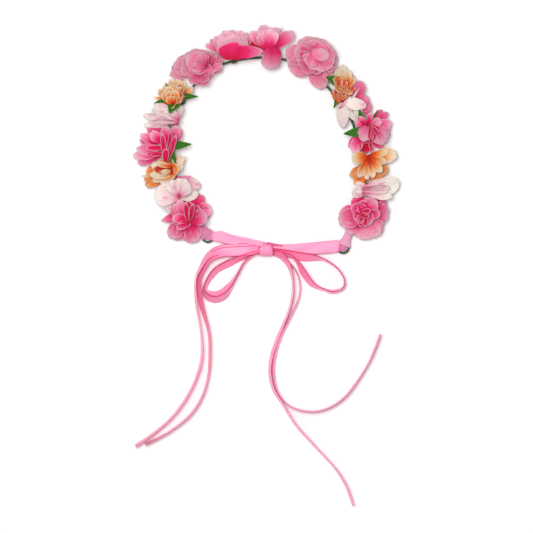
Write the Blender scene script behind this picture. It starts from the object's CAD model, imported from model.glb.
"""Looks for the flower crown: ribbons, knot, petals, leaves and wire round the CAD frame."""

import math
import random

import bpy
import numpy as np
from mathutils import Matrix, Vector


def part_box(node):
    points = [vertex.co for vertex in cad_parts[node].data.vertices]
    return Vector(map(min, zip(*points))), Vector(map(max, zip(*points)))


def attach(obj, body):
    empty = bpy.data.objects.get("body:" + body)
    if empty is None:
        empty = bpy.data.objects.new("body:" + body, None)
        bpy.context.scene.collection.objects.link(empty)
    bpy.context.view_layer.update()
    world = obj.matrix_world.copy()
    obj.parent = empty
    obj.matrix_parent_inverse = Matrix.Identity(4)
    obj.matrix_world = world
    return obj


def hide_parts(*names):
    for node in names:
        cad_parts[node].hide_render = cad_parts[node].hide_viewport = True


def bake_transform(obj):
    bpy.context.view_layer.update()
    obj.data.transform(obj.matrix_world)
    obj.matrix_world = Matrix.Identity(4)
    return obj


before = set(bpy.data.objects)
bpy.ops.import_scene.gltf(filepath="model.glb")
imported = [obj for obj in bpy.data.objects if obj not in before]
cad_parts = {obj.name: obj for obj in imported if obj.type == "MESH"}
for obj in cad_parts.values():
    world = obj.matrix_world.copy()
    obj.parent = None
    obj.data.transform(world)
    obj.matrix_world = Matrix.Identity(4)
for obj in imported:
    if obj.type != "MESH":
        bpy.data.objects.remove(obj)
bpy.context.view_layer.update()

# Shapes are worked out in millimetres, and MM turns them into metres.
MM = 0.001
CROWN, BOW = "crown", "bow"

# ---- Camera ----

# The square of table that the camera sees from straight above, in metres,
# from high up, so that the flowers' height hardly moves them in the view.
VIEW_SIDE = 0.533
VIEW_CENTRE = (-0.0005, -0.1165)
CAMERA_HEIGHT = 6.0
SENSOR = 36.0


def add_camera():
    data = bpy.data.cameras.new("camera")
    data.sensor_width = SENSOR
    data.lens = SENSOR * CAMERA_HEIGHT / VIEW_SIDE
    camera = bpy.data.objects.new("camera", data)
    camera.location = (*VIEW_CENTRE, CAMERA_HEIGHT)
    bpy.context.collection.objects.link(camera)
    bpy.context.scene.camera = camera


add_camera()

# ---- Small helpers ----


def unit(v):
    return v / np.linalg.norm(v)


def smooth(low, high, x):
    """0 where x is at low, 1 where it is at high, and an S curve between."""
    t = np.clip((np.asarray(x, float) - low) / (high - low), 0, 1)
    return t * t * (3 - 2 * t)


def spaced_angles(count):
    return np.linspace(0, 2 * np.pi, count, endpoint=False)


def curve(points, steps):
    """A Catmull-Rom curve through the points, as part.scad draws it."""
    p = np.asarray(points, float)
    out = []
    for i in range(len(p) - 1):
        a, b, c, d = p[max(i - 1, 0)], p[i], p[i + 1], p[min(i + 2, len(p) - 1)]
        for k in range(steps):
            t = k / steps
            bent = 2 * b + (c - a) * t + (2 * a - 5 * b + 4 * c - d) * t**2
            out.append(0.5 * (bent + (3 * b - a - 3 * c + d) * t**3))
    out.append(p[-1])
    return np.array(out)


def tangents(path):
    t = np.gradient(path, axis=0)
    return t / np.linalg.norm(t, axis=1)[:, None]


def run_along(path):
    """How far along the path each of its points lies."""
    return np.concatenate([[0], np.cumsum(np.linalg.norm(np.diff(path, axis=0), axis=1))])


def stack(*arrays):
    """Arrays of any fitting shapes as the components of one array of vectors."""
    return np.stack(np.broadcast_arrays(*arrays), axis=-1).astype(float)


class Patches:
    """Grids of points gathered into one mesh, with a UV and a tint for each point."""

    def __init__(self):
        self.points, self.uvs, self.tints, self.faces = [], [], [], []
        self.count = 0

    def grid(self, points, uv, tint, closed=False):
        rows, cols = points.shape[:2]
        self.points.append(points.reshape(-1, 3))
        self.uvs.append(np.broadcast_to(uv, (rows, cols, 2)).reshape(-1, 2))
        self.tints.append(np.broadcast_to(tint, (rows, cols, 3)).reshape(-1, 3))
        last = cols if closed else cols - 1
        for i in range(rows - 1):
            for k in range(last):
                a = self.count + i * cols + k
                b = self.count + i * cols + (k + 1) % cols
                self.faces.append((a, b, b + cols, a + cols))
        self.count += rows * cols

    def mesh_object(self, name, material, thickness=0.0):
        points = np.concatenate(self.points) * MM
        mesh = bpy.data.meshes.new(name)
        mesh.from_pydata(points.tolist(), [], self.faces)
        mesh.polygons.foreach_set("use_smooth", [True] * len(mesh.polygons))
        loops = np.empty(len(mesh.loops), int)
        mesh.loops.foreach_get("vertex_index", loops)
        layer = mesh.uv_layers.new(name="flat")
        layer.data.foreach_set("uv", np.concatenate(self.uvs)[loops].ravel())
        tints = np.concatenate(self.tints)
        colours = np.concatenate([tints, np.ones((len(tints), 1))], axis=1)
        attribute = mesh.color_attributes.new("tint", "FLOAT_COLOR", "POINT")
        attribute.data.foreach_set("color", colours.ravel())
        mesh.update()
        obj = bpy.data.objects.new(name, mesh)
        bpy.context.collection.objects.link(obj)
        mesh.materials.append(material)
        if thickness:
            solid = obj.modifiers.new("thickness", "SOLIDIFY")
            solid.thickness = thickness * MM
            solid.offset = 0
            solid.use_even_offset = False
        return obj


# ---- Materials ----


class Nodes:
    """A principled material and short calls that add nodes to it."""

    def __init__(self, name, **values):
        self.material = bpy.data.materials.new(name)
        self.material.use_nodes = True
        self.tree = self.material.node_tree
        self.shader = self.tree.nodes["Principled BSDF"]
        for key, value in values.items():
            self.shader.inputs[key.replace("_", " ")].default_value = value

    def add(self, kind, **settings):
        node = self.tree.nodes.new("ShaderNode" + kind)
        for key, value in settings.items():
            setattr(node, key, value)
        return node

    def join(self, source, target):
        self.tree.links.new(source, target)

    def value(self, node, key, source):
        """Give a socket another node's output, or a plain value."""
        if hasattr(source, "is_output"):
            self.join(source, node.inputs[key])
        else:
            node.inputs[key].default_value = source

    def tint(self):
        """The three numbers that each point of the mesh carries."""
        node = self.add("Attribute", attribute_name="tint")
        split = self.add("SeparateColor")
        self.join(node.outputs["Color"], split.inputs[0])
        return split.outputs[0], split.outputs[1], split.outputs[2]

    def maths(self, operation, a, b=0.0, c=0.0):
        node = self.add("Math", operation=operation)
        for key, source in enumerate((a, b, c)):
            self.value(node, key, source)
        return node.outputs[0]

    def mix(self, factor, a, b, blend="MIX"):
        node = self.add("Mix", data_type="RGBA", blend_type=blend)
        self.value(node, 0, factor)
        self.value(node, 6, a)
        self.value(node, 7, b)
        return node.outputs[2]

    def flat(self, x_scale, y_scale):
        """The UV map in millimetres, stretched by these scales."""
        uv = self.add("UVMap", uv_map="flat")
        mapping = self.add("Mapping")
        mapping.inputs["Scale"].default_value = (x_scale, y_scale, 1)
        self.join(uv.outputs[0], mapping.inputs[0])
        return mapping.outputs[0]

    def place(self, scale):
        """The object's own coordinates, for patterns that follow no UV map."""
        coords = self.add("TexCoord")
        mapping = self.add("Mapping")
        mapping.inputs["Scale"].default_value = (scale, scale, scale)
        self.join(coords.outputs["Object"], mapping.inputs[0])
        return mapping.outputs[0]

    def noise(self, vector, scale=1.0, detail=2.0):
        node = self.add("TexNoise")
        node.inputs["Scale"].default_value = scale
        node.inputs["Detail"].default_value = detail
        self.join(vector, node.inputs["Vector"])
        return node.outputs[0]

    def waves(self, vector, scale, direction="X", distortion=0.0):
        node = self.add("TexWave", bands_direction=direction)
        node.inputs["Scale"].default_value = scale
        node.inputs["Distortion"].default_value = distortion
        self.join(vector, node.inputs["Vector"])
        return node.outputs[1]

    def ramp(self, factor, stops):
        node = self.add("ValToRGB")
        band = node.color_ramp
        while len(band.elements) < len(stops):
            band.elements.new(0.5)
        for element, (place, colour) in zip(band.elements, stops):
            element.position = place
            element.color = (*colour, 1)
        self.join(factor, node.inputs[0])
        return node.outputs[0]

    def finish(self, colour, height, strength, distance=0.0002, rough=None):
        """Colour the shader and give it a bump, distance in metres."""
        self.join(colour, self.shader.inputs["Base Color"])
        bump = self.add("Bump")
        bump.inputs["Strength"].default_value = strength
        bump.inputs["Distance"].default_value = distance
        self.join(height, bump.inputs["Height"])
        self.join(bump.outputs[0], self.shader.inputs["Normal"])
        if rough is not None:
            self.join(rough, self.shader.inputs["Roughness"])
        return self.material


def srgb(*values):
    """Linear colour of an 8-bit display colour."""
    return tuple(((v / 255 + 0.055) / 1.055) ** 2.4 for v in values)


# Petal cloth: how far veins and clouds shift the dye, where spots begin and how
# they fade along the ramp, how strong the rim's colour is, the range of tone from
# petal to petal, and the scale of the weave.
VEIN_SHIFT, CLOUD_SHIFT = 0.26, 0.3
SPOT_EDGE = [(0.50, (0, 0, 0)), (0.62, (1, 1, 1))]
SPOT_FADE, SPOT_INNER, SPOT_MOST = -1.4, 1.6, 0.85
RIM_DEPTH = 0.75
TONE_SPAN, TONE_LOW = 0.2, 0.7
WEAVE = 0.9


def petal_material(name, stops, edge, spot=None):
    """Dyed petal cloth: colour runs from the foot to the rim, with veins and a fine weave.

    tint holds how far along the dye ramp a point is, how near the rim it is, and a
    random tone. Veins and clouds shift the dye both ways, and spots of a second
    colour fade out towards the rim.
    """
    n = Nodes(name, Roughness=0.75, Sheen_Weight=0.1, Sheen_Roughness=0.45, IOR=1.35)
    dye, rim, tone = n.tint()
    veins = n.noise(n.flat(0.9, 0.12), 1.6, 3.0)
    cloud = n.noise(n.flat(0.16, 0.07))
    shift = n.maths("MULTIPLY_ADD", veins, VEIN_SHIFT, -VEIN_SHIFT / 2)
    drift = n.maths("MULTIPLY_ADD", cloud, CLOUD_SHIFT, -CLOUD_SHIFT / 2)
    along = n.maths("ADD", n.maths("ADD", dye, shift), drift)
    colour = n.ramp(along, stops)
    if spot:
        inner = n.maths("MULTIPLY_ADD", dye, SPOT_FADE, SPOT_INNER)
        inner = n.maths("MINIMUM", inner, SPOT_MOST)
        patch = n.maths("MULTIPLY", n.ramp(cloud, SPOT_EDGE), inner)
        colour = n.mix(patch, colour, (*spot, 1))
    colour = n.mix(n.maths("MULTIPLY", rim, RIM_DEPTH), colour, (*edge, 1))
    shade = n.maths("MULTIPLY_ADD", tone, TONE_SPAN, TONE_LOW)
    grey = n.add("CombineColor")
    for k in range(3):
        n.join(shade, grey.inputs[k])
    colour = n.mix(1.0, colour, grey.outputs[0], "MULTIPLY")
    warp, weft = n.waves(n.flat(1, 1), WEAVE), n.waves(n.flat(1, 1), WEAVE, "Y")
    fine = n.maths("MULTIPLY_ADD", veins, 2.2, n.maths("ADD", warp, weft))
    rough = n.maths("MULTIPLY_ADD", veins, 0.25, 0.6)
    return n.finish(colour, fine, 0.35, rough=rough)


def pink_petals():
    stops = [
        (0.00, srgb(200, 0, 20)), (0.22, srgb(226, 2, 82)),
        (0.44, srgb(236, 34, 112)), (0.72, srgb(247, 118, 160)),
        (1.00, srgb(250, 182, 204)),
    ]
    return petal_material("pink_petals", stops, srgb(254, 204, 216))


def rose_petals():
    stops = [
        (0.00, srgb(210, 15, 70)), (0.20, srgb(230, 68, 124)),
        (0.42, srgb(241, 106, 150)), (0.75, srgb(241, 138, 168)),
        (1.00, srgb(236, 170, 186)),
    ]
    return petal_material("rose_petals", stops, srgb(246, 196, 208))


def blush_petals():
    stops = [
        (0.00, srgb(215, 60, 105)), (0.18, srgb(238, 150, 178)),
        (0.36, srgb(246, 200, 208)), (0.70, srgb(249, 228, 222)),
        (1.00, srgb(252, 243, 232)),
    ]
    spot = srgb(245, 145, 188)
    return petal_material("blush_petals", stops, srgb(255, 246, 242), spot)


def peach_petals():
    stops = [
        (0.00, srgb(195, 20, 0)), (0.20, srgb(226, 62, 0)),
        (0.40, srgb(241, 104, 18)), (0.60, srgb(246, 164, 92)),
        (0.82, srgb(248, 212, 172)), (1.00, srgb(250, 230, 206)),
    ]
    return petal_material("peach_petals", stops, srgb(252, 236, 216))


def satin_material(name, face, shade, edge):
    """Woven satin: fine lengthwise threads, a sheen, and selvedges of a deeper colour.

    tint holds how near a selvedge a point is, how deep it lies in a fold, and its dusk,
    the purple of the ribbon's back where it turns away.
    """
    n = Nodes(name, Roughness=0.42, Sheen_Weight=0.35, Sheen_Roughness=0.3, Anisotropic=0.5)
    selvedge, fold, dusk = n.tint()
    threads = n.waves(n.flat(1, 0.04), 2.4, "X", 1.5)
    picks = n.waves(n.flat(1, 1), 1.4, "Y", 0.4)
    slubs = n.noise(n.flat(0.5, 0.05), 1.0, 3.0)
    colour = n.mix(n.maths("MULTIPLY", slubs, 0.35), (*face, 1), (*shade, 1))
    colour = n.mix(dusk, colour, (*srgb(190, 84, 140), 1))
    colour = n.mix(fold, colour, (*edge, 1))
    colour = n.mix(selvedge, colour, (*edge, 1))
    height = n.maths("MULTIPLY_ADD", threads, 0.6, n.maths("MULTIPLY", picks, 0.4))
    rough = n.maths("MULTIPLY_ADD", slubs, 0.25, 0.3)
    return n.finish(colour, height, 0.15, 0.00015, rough)


def satin_ribbon():
    face, shade, edge = srgb(250, 150, 190), srgb(240, 110, 158), srgb(245, 40, 115)
    return satin_material("satin_ribbon", face, shade, edge)


def neck_ribbon():
    """The ribbon wound round the wire's ends shows its ribbed back and is duller.

    The last number of tint says how light this turn of ribbon is.
    """
    n = Nodes("neck_ribbon", Roughness=0.8, Sheen_Weight=0.3)
    _, _, light = n.tint()
    ribs = n.waves(n.flat(1, 1), 0.8, "DIAGONAL", 0.8)
    cloud = n.noise(n.flat(0.2, 0.2), 1.5, 3.0)
    mixed = n.maths("MULTIPLY_ADD", ribs, 0.5, n.maths("MULTIPLY", cloud, 0.5))
    dark, middle, pale = srgb(170, 75, 118), srgb(214, 115, 158), srgb(238, 158, 192)
    colour = n.ramp(mixed, [(0.1, dark), (0.5, middle), (0.9, pale)])
    colour = n.mix(n.maths("MULTIPLY", light, 0.6), colour, (*srgb(248, 190, 215), 1))
    return n.finish(colour, ribs, 0.5, 0.0003)


def floral_tape():
    """Crinkled paper tape, dark green, wound on the slant."""
    n = Nodes("floral_tape", Roughness=0.62)
    crinkle = n.noise(n.place(900), 1.0, 4.0)
    wrap = n.waves(n.place(160), 1.0, "DIAGONAL", 2.0)
    mixed = n.maths("MULTIPLY_ADD", wrap, 0.5, n.maths("MULTIPLY", crinkle, 0.5))
    dark, middle, pale = srgb(8, 22, 6), srgb(24, 62, 16), srgb(58, 110, 34)
    colour = n.ramp(mixed, [(0.2, dark), (0.55, middle), (0.9, pale)])
    return n.finish(colour, mixed, 0.6, 0.0003)


def wire_steel():
    n = Nodes("steel_wire", Metallic=1.0, Roughness=0.4)
    streak = n.noise(n.place(700), 1.0, 3.0)
    colour = n.ramp(streak, [(0.3, (0.22, 0.23, 0.22)), (0.7, (0.5, 0.5, 0.48))])
    return n.finish(colour, streak, 0.2)


def leaf_green():
    """Dyed leaf green, lighter towards the rim, with side veins.

    The middle number of tint says how near the rim a point is.
    """
    n = Nodes("leaf_green", Roughness=0.6, Specular_IOR_Level=0.25)
    _, rim, _ = n.tint()
    veins = n.waves(n.flat(0.7, 1), 0.55, "DIAGONAL", 1.2)
    cloud = n.noise(n.flat(0.3, 0.3), 1.0, 3.0)
    mixed = n.maths("MULTIPLY_ADD", veins, 0.35, n.maths("MULTIPLY", cloud, 0.65))
    dark, middle, pale = srgb(14, 50, 2), srgb(36, 104, 4), srgb(78, 146, 14)
    colour = n.ramp(mixed, [(0.2, dark), (0.5, middle), (0.85, pale)])
    colour = n.mix(n.maths("MULTIPLY", rim, 0.15), colour, (*srgb(120, 165, 60), 1))
    return n.finish(colour, veins, 0.4, 0.0003)


def floor_paper():
    n = Nodes("floor_paper", Roughness=0.95)
    grain = n.noise(n.place(30), 1.0, 4.0)
    colour = n.ramp(grain, [(0.3, (0.93, 0.93, 0.93)), (0.7, (0.95, 0.95, 0.95))])
    return n.finish(colour, grain, 0.02)


SATIN = satin_ribbon()
NECK = neck_ribbon()
TAPE = floral_tape()
STEEL = wire_steel()
GREEN = leaf_green()
PETALS = {
    "pink": pink_petals(),
    "rose": rose_petals(),
    "blush": blush_petals(),
    "peach": peach_petals(),
}

# ---- Ribbons of the bow ----

RIBBON_W = 10.0
HALF_W = RIBBON_W / 2
RIBBON_T = 0.3
SELVEDGE = 0.9
# The lowest that a ribbon's middle surface comes to the table.
TABLE_CLEAR = 0.3

# Each row: route point x, y, lean of the outer ply and of the inner ply, in
# millimetres and degrees. A ply stands on its edge at 0, and leans so that
# its lower edge goes outwards (outer ply) or inwards (inner ply).
LEFT_LOOP = [
    (-8.8, -100.6, 0, 0), (-18, -103.2, 0, 20), (-30.4, -107.3, 5, 30),
    (-39.3, -110.8, 5, 38), (-49.5, -116.3, 5, 35), (-56, -122.6, 5, 32),
    (-61, -131.3, 5, 22), (-62.6, -138.3, 10, 15), (-61, -142, 22, 15),
    (-58, -144.5, 33, 22), (-53, -146.4, 36, 28), (-47.3, -145.6, 35, 30),
    (-41.8, -142.5, 28, 30), (-36.7, -137.7, 12, 28), (-32.9, -131.3, 6, 18),
    (-28.5, -122.8, 5, 10), (-24, -114, 8, 5), (-18.5, -107.8, 10, 0),
    (-9.1, -103.2, 0, 0),
]
RIGHT_LOOP = [
    (6.8, -98.3, 0, 10), (15, -99.3, 0, 35), (27.6, -101.3, 0, 50),
    (37.2, -102.9, 0, 52), (46.1, -104.5, 0, 40), (52.5, -106.9, 0, 22),
    (58.3, -109.5, 3, 10), (67.8, -115.8, 4, 4), (72.9, -120.9, 4, 4),
    (76.1, -126, 4, 4), (77.7, -131.1, 6, 4), (77.2, -135.8, 8, 4),
    (74.2, -139.4, 10, 5), (69.1, -141.2, 12, 8), (64, -141.3, 14, 6),
    (58.3, -139.4, 12, 3), (51.2, -136.2, 18, 0), (45.5, -131.1, 30, 0),
    (38.5, -121, 34, 0), (31.5, -111.5, 18, 0), (23.5, -105, 10, 0),
    (15, -102, 5, 0), (6.6, -101, 0, 0),
]
# Each row: route point x, y, lean of the ribbon towards the inside of the bend,
# how high it is lifted off the table, and how far it lies inwards. The last two
# are 0 where a row leaves them out.
LEFT_TAIL_OUTER = [
    (-8.3, -97.5, 50, 4, 0), (-20, -98, 80, 5.5, 0), (-34, -98.5, 86, 5.5, 0),
    (-46, -101, 72, 4.5, -1), (-57, -108, 35, 2, -2.5), (-65, -118, 20, 0, -1.4),
    (-70, -130, 12, 0, -1.2), (-69.5, -152, 14, 0, -1), (-65, -182, 11, 0, -1),
    (-65, -206, 12, 0, 0), (-70, -226, 14, 0, 0), (-80, -247, 12, 0, 0),
    (-94, -266, 10, 0, 0), (-113, -283, 12, 0, 0), (-131.5, -296, 14, 0, 0),
]
LEFT_TAIL_INNER = [
    (-8.5, -98.8, 50, 5, 0), (-20, -99.7, 80, 6.8, 1), (-34, -101, 86, 6.8, 0.5),
    (-45, -104, 72, 6, -1.5), (-54.5, -111, 44, 3.5, -4), (-61, -120, 31, 1, -3),
    (-66, -131, 28, 0, -2), (-65, -152, 27, 0, -1), (-58.5, -180, 18, 0, 0),
    (-57, -199, 15, 0, 0), (-58.5, -225, 12, 0, 0), (-65, -247, 12, 0, 0),
    (-76, -264, 10, 0, 0), (-91, -277, 10, 0, 0), (-107, -287, 10, 0, 0),
    (-122, -294, 12, 0, 0),
]
RIGHT_TAIL_SHORT = [
    (6.3, -102.9, 5), (14, -105.5, 5), (22, -111.5, 5), (29, -120.5, 8), (33, -131, 10),
    (33, -145, 10), (27, -161, 12), (15, -185, 14), (8.5, -205, 16), (7, -223, 16),
    (11.5, -242, 12), (24, -256, 6), (44, -261, 8), (61, -257.5, 8), (77, -247, 8),
    (90.5, -230, 8), (103, -209, 8), (113, -184, 10),
]
RIGHT_TAIL_LONG = [
    (6.1, -104.6, 40), (14, -108.5, 38), (21, -117, 22), (25, -130, 8), (25, -144, 10),
    (21, -161, 12), (11, -185, 16), (4, -205, 17), (2, -223, 17), (6, -240, 14),
    (15.5, -255, 12), (28, -275, 14), (46, -295, 12), (68, -319, 12), (79, -337, 12),
    (85.5, -355.6, 12),
]
STRIP_STEPS = 8
STRIP_COLS = 9
# Height and length of a ribbon's faint waves, and how far its edge stands off the table.
WAVE_H, WAVE_L = 0.12, 9.0
STAND = 0.25


def strip(patches, path, up, normal, curl=0.25, deep=0.0, dusk=0.0):
    """A ribbon along path: up runs across its width, and curl bows it along normal."""
    v = np.linspace(-1, 1, STRIP_COLS)
    run = run_along(path)
    wave = WAVE_H * np.sin(run / WAVE_L)[:, None] * v[None, :]
    bowed = curl * (v**2)[None, :] - 0.5 * curl + wave
    points = (
        path[:, None, :]
        + HALF_W * v[None, :, None] * up[:, None, :]
        + bowed[..., None] * normal[:, None, :]
    )
    points[..., 2] = np.maximum(points[..., 2], TABLE_CLEAR)
    uv = stack(HALF_W * v[None, :] + HALF_W, run[:, None])
    near = smooth(1 - SELVEDGE / HALF_W, 1.0, np.abs(v))
    deep = np.broadcast_to(deep, run.shape)
    patches.grid(points, uv, stack(near[None, :], deep[:, None], dusk))


def leaning(route, leans, lifts=0.0, anchor=0.0, shift=0.0):
    """Path, width direction and normal of a ribbon that leans along its route.

    anchor is the place across the ribbon, from -1 to 1, that stays over the route,
    and shift moves it sideways off the route.
    """
    pts = curve(route, STRIP_STEPS)
    lean = np.radians(curve(leans, STRIP_STEPS)[:, 0])
    flat = np.concatenate([pts, np.zeros((len(pts), 1))], axis=1)
    t = tangents(flat)
    side = np.cross([0, 0, 1], t)
    up = np.cos(lean)[:, None] * np.array([0, 0, 1]) + np.sin(lean)[:, None] * side
    path = flat + shift * side
    path[:, 2] = HALF_W * np.abs(np.cos(lean)) + STAND + lifts
    path[:, :2] -= (anchor * HALF_W * np.sin(lean))[:, None] * side[:, :2]
    return path, up, np.cross(t, up)


def columns(rows):
    """The route of a table of rows, and each of its further columns."""
    table = np.array(rows, float)
    return table[:, :2], *(table[:, k : k + 1] for k in range(2, table.shape[1]))


def bow_cord(node, line, path, up, normal):
    """The ribbon that stands for a CAD cord; line is the cord's own middle line."""
    patches = Patches()
    strip(patches, path, up, normal)
    obj = patches.mesh_object(node + "_ribbon", SATIN, RIBBON_T)
    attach(obj, BOW)
    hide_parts(node)
    line = line * MM


PLY_SHIFT = 0.3
LINE_ANCHOR = 0.35


def loop(side, rows, inward):
    """Two plies that share their upper edge, the outer one leaning out, the inner one in."""
    route, outer, inner = columns(rows)
    for ply, leans, sign in (("outer", outer, inward), ("inner", inner, -inward)):
        leans, shift = sign * leans, -PLY_SHIFT * sign
        path, up, normal = leaning(route, leans, anchor=1.0, shift=shift)
        line = leaning(route, leans, anchor=LINE_ANCHOR, shift=shift)[0]
        bow_cord(f"{side}_loop_{ply}", line, path, up, normal)


def tail(name, rows, anchor=0.0, sign=1):
    """One tail: anchor is the place across it that stays over its route."""
    route, leans, lifts, shifts = columns([(*row, 0, 0)[:5] for row in rows])
    lift = curve(lifts, STRIP_STEPS)[:, 0]
    shift = curve(shifts, STRIP_STEPS)
    path, up, normal = leaning(route, sign * leans, lift, anchor, shift)
    bow_cord(name, path, path, up, normal)


# ---- Knot ----

KNOT_ROWS, KNOT_COLS = 15, 40
# Half width and half height of the turn, and how much it narrows to its edges.
KNOT_W, KNOT_H = 6.9, 5.2
KNOT_W_LESS, KNOT_H_LESS = 1.0, 0.7
# Half length of the turn on the tails' side, how much shorter it is on the ring's
# side, and how far it leans there.
KNOT_L, KNOT_TOP_LESS, KNOT_LEAN = 7.2, 5.0, 2.1
PLEAT = 0.22
KNOT_SQUARE, NECK_SQUARE = 0.62, 0.75
# The tucked end: its route from the knot's middle, and its width there and at its
# end, as a share of the ribbon's.
FOLD_ROUTE = [(0.4, 5.0, 5.4), (3, 5.1, 5.6), (7, 4.8, 4.8), (11, 4.4, 3.8), (16.5, 3.5, 3.0)]
FOLD_WIDE, FOLD_NARROW = 0.42, 0.12
KNOT_MIDDLE = sum(np.array(corner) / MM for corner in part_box("bow_knot")) / 2


def superellipse(angle, half_w, half_h, power):
    """A rounded rectangle, squarer the smaller power is."""
    c, s = np.cos(angle), np.sin(angle)
    return (
        half_w * np.sign(c) * np.abs(c) ** power,
        half_h * np.sign(s) * np.abs(s) ** power,
    )


def bow_knot():
    """A turn of ribbon pulled tight round the bundle."""
    patches = Patches()
    angle = spaced_angles(KNOT_COLS)
    rows = np.linspace(-1, 1, KNOT_ROWS)
    grid = []
    for r in rows:
        half_w = KNOT_W - KNOT_W_LESS * abs(r) ** 3
        half_h = KNOT_H - KNOT_H_LESS * abs(r) ** 3
        y, z = superellipse(angle, half_w, half_h, KNOT_SQUARE)
        top = smooth(0.0, 1.0, y / KNOT_W)
        pleat = PLEAT * np.sin(9 * r + 2.5 * angle)
        x = r * (KNOT_L - KNOT_TOP_LESS * top) + KNOT_LEAN * top
        y = y * (1 + 0.012 * np.cos(3 * angle)) + 0.4 * pleat
        grid.append(stack(x, y, z + pleat * np.sin(angle)))
    points = np.array(grid) + KNOT_MIDDLE
    points[..., 2] = np.maximum(points[..., 2], TABLE_CLEAR)
    near = smooth(0.8, 1.0, np.abs(rows))[:, None]
    uv = stack(rows[:, None] * 6, angle[None, :] * 6)
    patches.grid(points, uv, stack(near, 0.0, 0.15), closed=True)
    wrap = patches.mesh_object("knot_wrap", SATIN, 0.4)
    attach(wrap, BOW)
    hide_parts("bow_knot")
    return wrap


def knot_fold():
    """The end of the knot's ribbon, tucked out over the right band and narrowing."""
    path = curve(FOLD_ROUTE, STRIP_STEPS) + KNOT_MIDDLE
    t = tangents(path)
    up = np.cross([0, -0.6, 1.0], t)
    up = up / np.linalg.norm(up, axis=1)[:, None]
    across = up * np.linspace(FOLD_WIDE, FOLD_NARROW, len(path))[:, None]
    deep = np.linspace(0.0, 0.5, len(path))
    patches = Patches()
    strip(patches, path, across, np.cross(t, up), curl=0.8, deep=deep, dusk=0.6)
    fold = patches.mesh_object("knot_fold", SATIN, RIBBON_T)
    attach(fold, BOW)
    return fold


# ---- Bands through the eyelets ----

EYELET_Z = 5.1
EYELET_LEFT = np.array([-59.0, -86.5, EYELET_Z])
EYELET_RIGHT = np.array([76.0, -97.5, EYELET_Z])
# Place and radius of the bend by which a band turns back in its eyelet's hole.
HOLE_END, HOLE_R = -2.2, 0.6
# Half the gap between a band's two plies, by distance from the eyelet. It is
# widest where they pass over and under the eyelet's wire.
BAND_GAP = [(HOLE_END, HOLE_R), (2, 0.9), (4, 1.45), (7, 1.45), (30, 0.75)]
BAND_COLS = 17
FAR_STEPS, NEAR_STEPS, TURN_STEPS, NEAR_END = 24, 14, 9, 8
BAND_AXIS = unit(EYELET_RIGHT - EYELET_LEFT)
BAND_SIDE = np.cross([0, 0, 1], BAND_AXIS)
# Distance from the eyelet, then the band's far and near edge across it.
LEFT_BAND = [
    (-2.8, 3.2, -2.8), (0, 3.8, -3.2), (3.5, 4.2, -3.6), (6, 5.2, -3.8),
    (13, 6.4, -4.8), (18, 5.0, -5.5), (23, 3.6, -6.0), (39, 1.6, -6.0),
    (57, -0.9, -6.0),
]
RIGHT_BAND = [
    (-2.8, 2.8, -3.2), (0, 3.4, -3.6), (3.5, 4.6, -4.2), (6, 7.0, -5.2),
    (13, 5.8, -6.8), (29, 2.9, -9.0), (48, -0.4, -8.6), (60, -1.9, -7.0),
    (71, -2.5, -6.0),
]


def band(name, eyelet, along, rows, nodes):
    """One ribbon from the knot over the eyelet's wire, down its hole and back below itself."""
    place, far, near = np.array(rows, float).T
    s_end = place[-1]
    v = np.linspace(-1, 1, BAND_COLS)
    far_part = np.linspace(s_end, NEAR_END, FAR_STEPS)[:-1]
    near_part = np.linspace(NEAR_END, HOLE_END, NEAR_STEPS)[:-1]
    reach = np.concatenate([far_part, near_part])
    gap = np.interp(reach, *np.array(BAND_GAP).T)
    turn = np.radians(np.linspace(90, 270, TURN_STEPS))
    s = np.concatenate([reach, HOLE_END + HOLE_R * np.cos(turn), reach[::-1]])[:, None]
    rise = np.concatenate([gap, HOLE_R * np.sin(turn), -gap[::-1]])[:, None]
    low, high = np.interp(s, place, near), np.interp(s, place, far)
    # A soft ripple between knot and eyelet, and a faint one in the eyelet itself.
    ripple = 0.18 * np.sin(3.1 * v + s / 6) * smooth(8, 16, s)
    dip = 0.15 * np.sin(2.2 * v + 1.0) * smooth(5, 0, s)
    grid = stack(s, low + (high - low) * (v + 1) / 2, rise + ripple + dip)
    points = (
        eyelet
        + grid[..., 0:1] * along
        + grid[..., 1:2] * BAND_SIDE
        + grid[..., 2:3] * np.array([0, 0, 1.0])
    )
    run = run_along(grid[:, BAND_COLS // 2])
    edge = smooth(0.9, 1.0, np.abs(v))[None, :] * 0.5
    # The ribbon is dusky where it goes down into the eyelet.
    dusk = 0.75 * smooth(7.5, 2.5, s)
    patches = Patches()
    uv = stack(HALF_W * v[None, :] + HALF_W, run[:, None])
    patches.grid(points, uv, stack(edge, 0.0, dusk))
    obj = patches.mesh_object(name, SATIN, RIBBON_T)
    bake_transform(obj)
    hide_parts(*nodes)
    return obj


def bow():
    wrap, fold = bow_knot(), knot_fold()
    left = band(
        "left_band_ribbon", EYELET_LEFT, BAND_AXIS, LEFT_BAND,
        ("left_band_upper", "left_band_lower"),
    )
    right = band(
        "right_band_ribbon", EYELET_RIGHT, -BAND_AXIS, RIGHT_BAND,
        ("right_band_upper", "right_band_lower"),
    )
    loop("left", LEFT_LOOP, 1)
    loop("right", RIGHT_LOOP, -1)
    tail("left_tail_outer", LEFT_TAIL_OUTER)
    tail("left_tail_inner", LEFT_TAIL_INNER)
    tail("right_tail_short", RIGHT_TAIL_SHORT, sign=-1)
    tail("right_tail_long", RIGHT_TAIL_LONG, anchor=-0.7)


bow()

# ---- Wire, tape and neck wraps ----

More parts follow.
